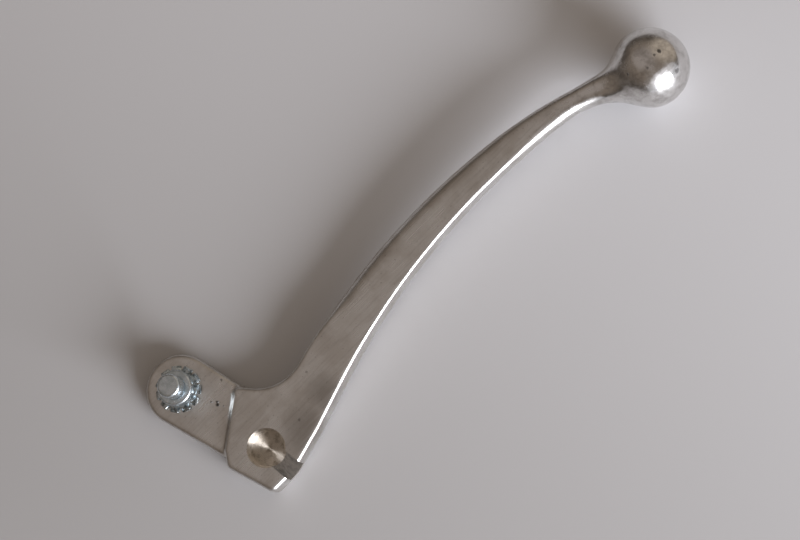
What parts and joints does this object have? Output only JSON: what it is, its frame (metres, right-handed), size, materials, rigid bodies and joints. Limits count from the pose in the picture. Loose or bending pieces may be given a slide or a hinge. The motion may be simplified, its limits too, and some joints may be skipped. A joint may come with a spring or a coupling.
{
  "type": "handlebar lever",
  "caption": "Cast ball-end lever blade with a round pivot pocket and entry slot in its root, and a collared anchor stud in a thin ear.",
  "frame": {"origin": "on the pivot axis, at the mid plane of the root and the blade", "axes": "+X from the pivot axis to the centre of the ball, +Z along the pivot axis out of the pocket's mouth, +Y towards the ear"},
  "size_m": [0.1594, 0.0466, 0.0202],
  "materials": {
    "cast_aluminium": "polished casting",
    "plated_steel": "turned, zinc plated",
    "washer_steel": "stamped, blue zinc plated"
  },
  "bodies": {
    "root": {"lever": "cast_aluminium", "anchor_pin": "plated_steel", "lock_washer": "washer_steel"}
  },
  "joints": []
}
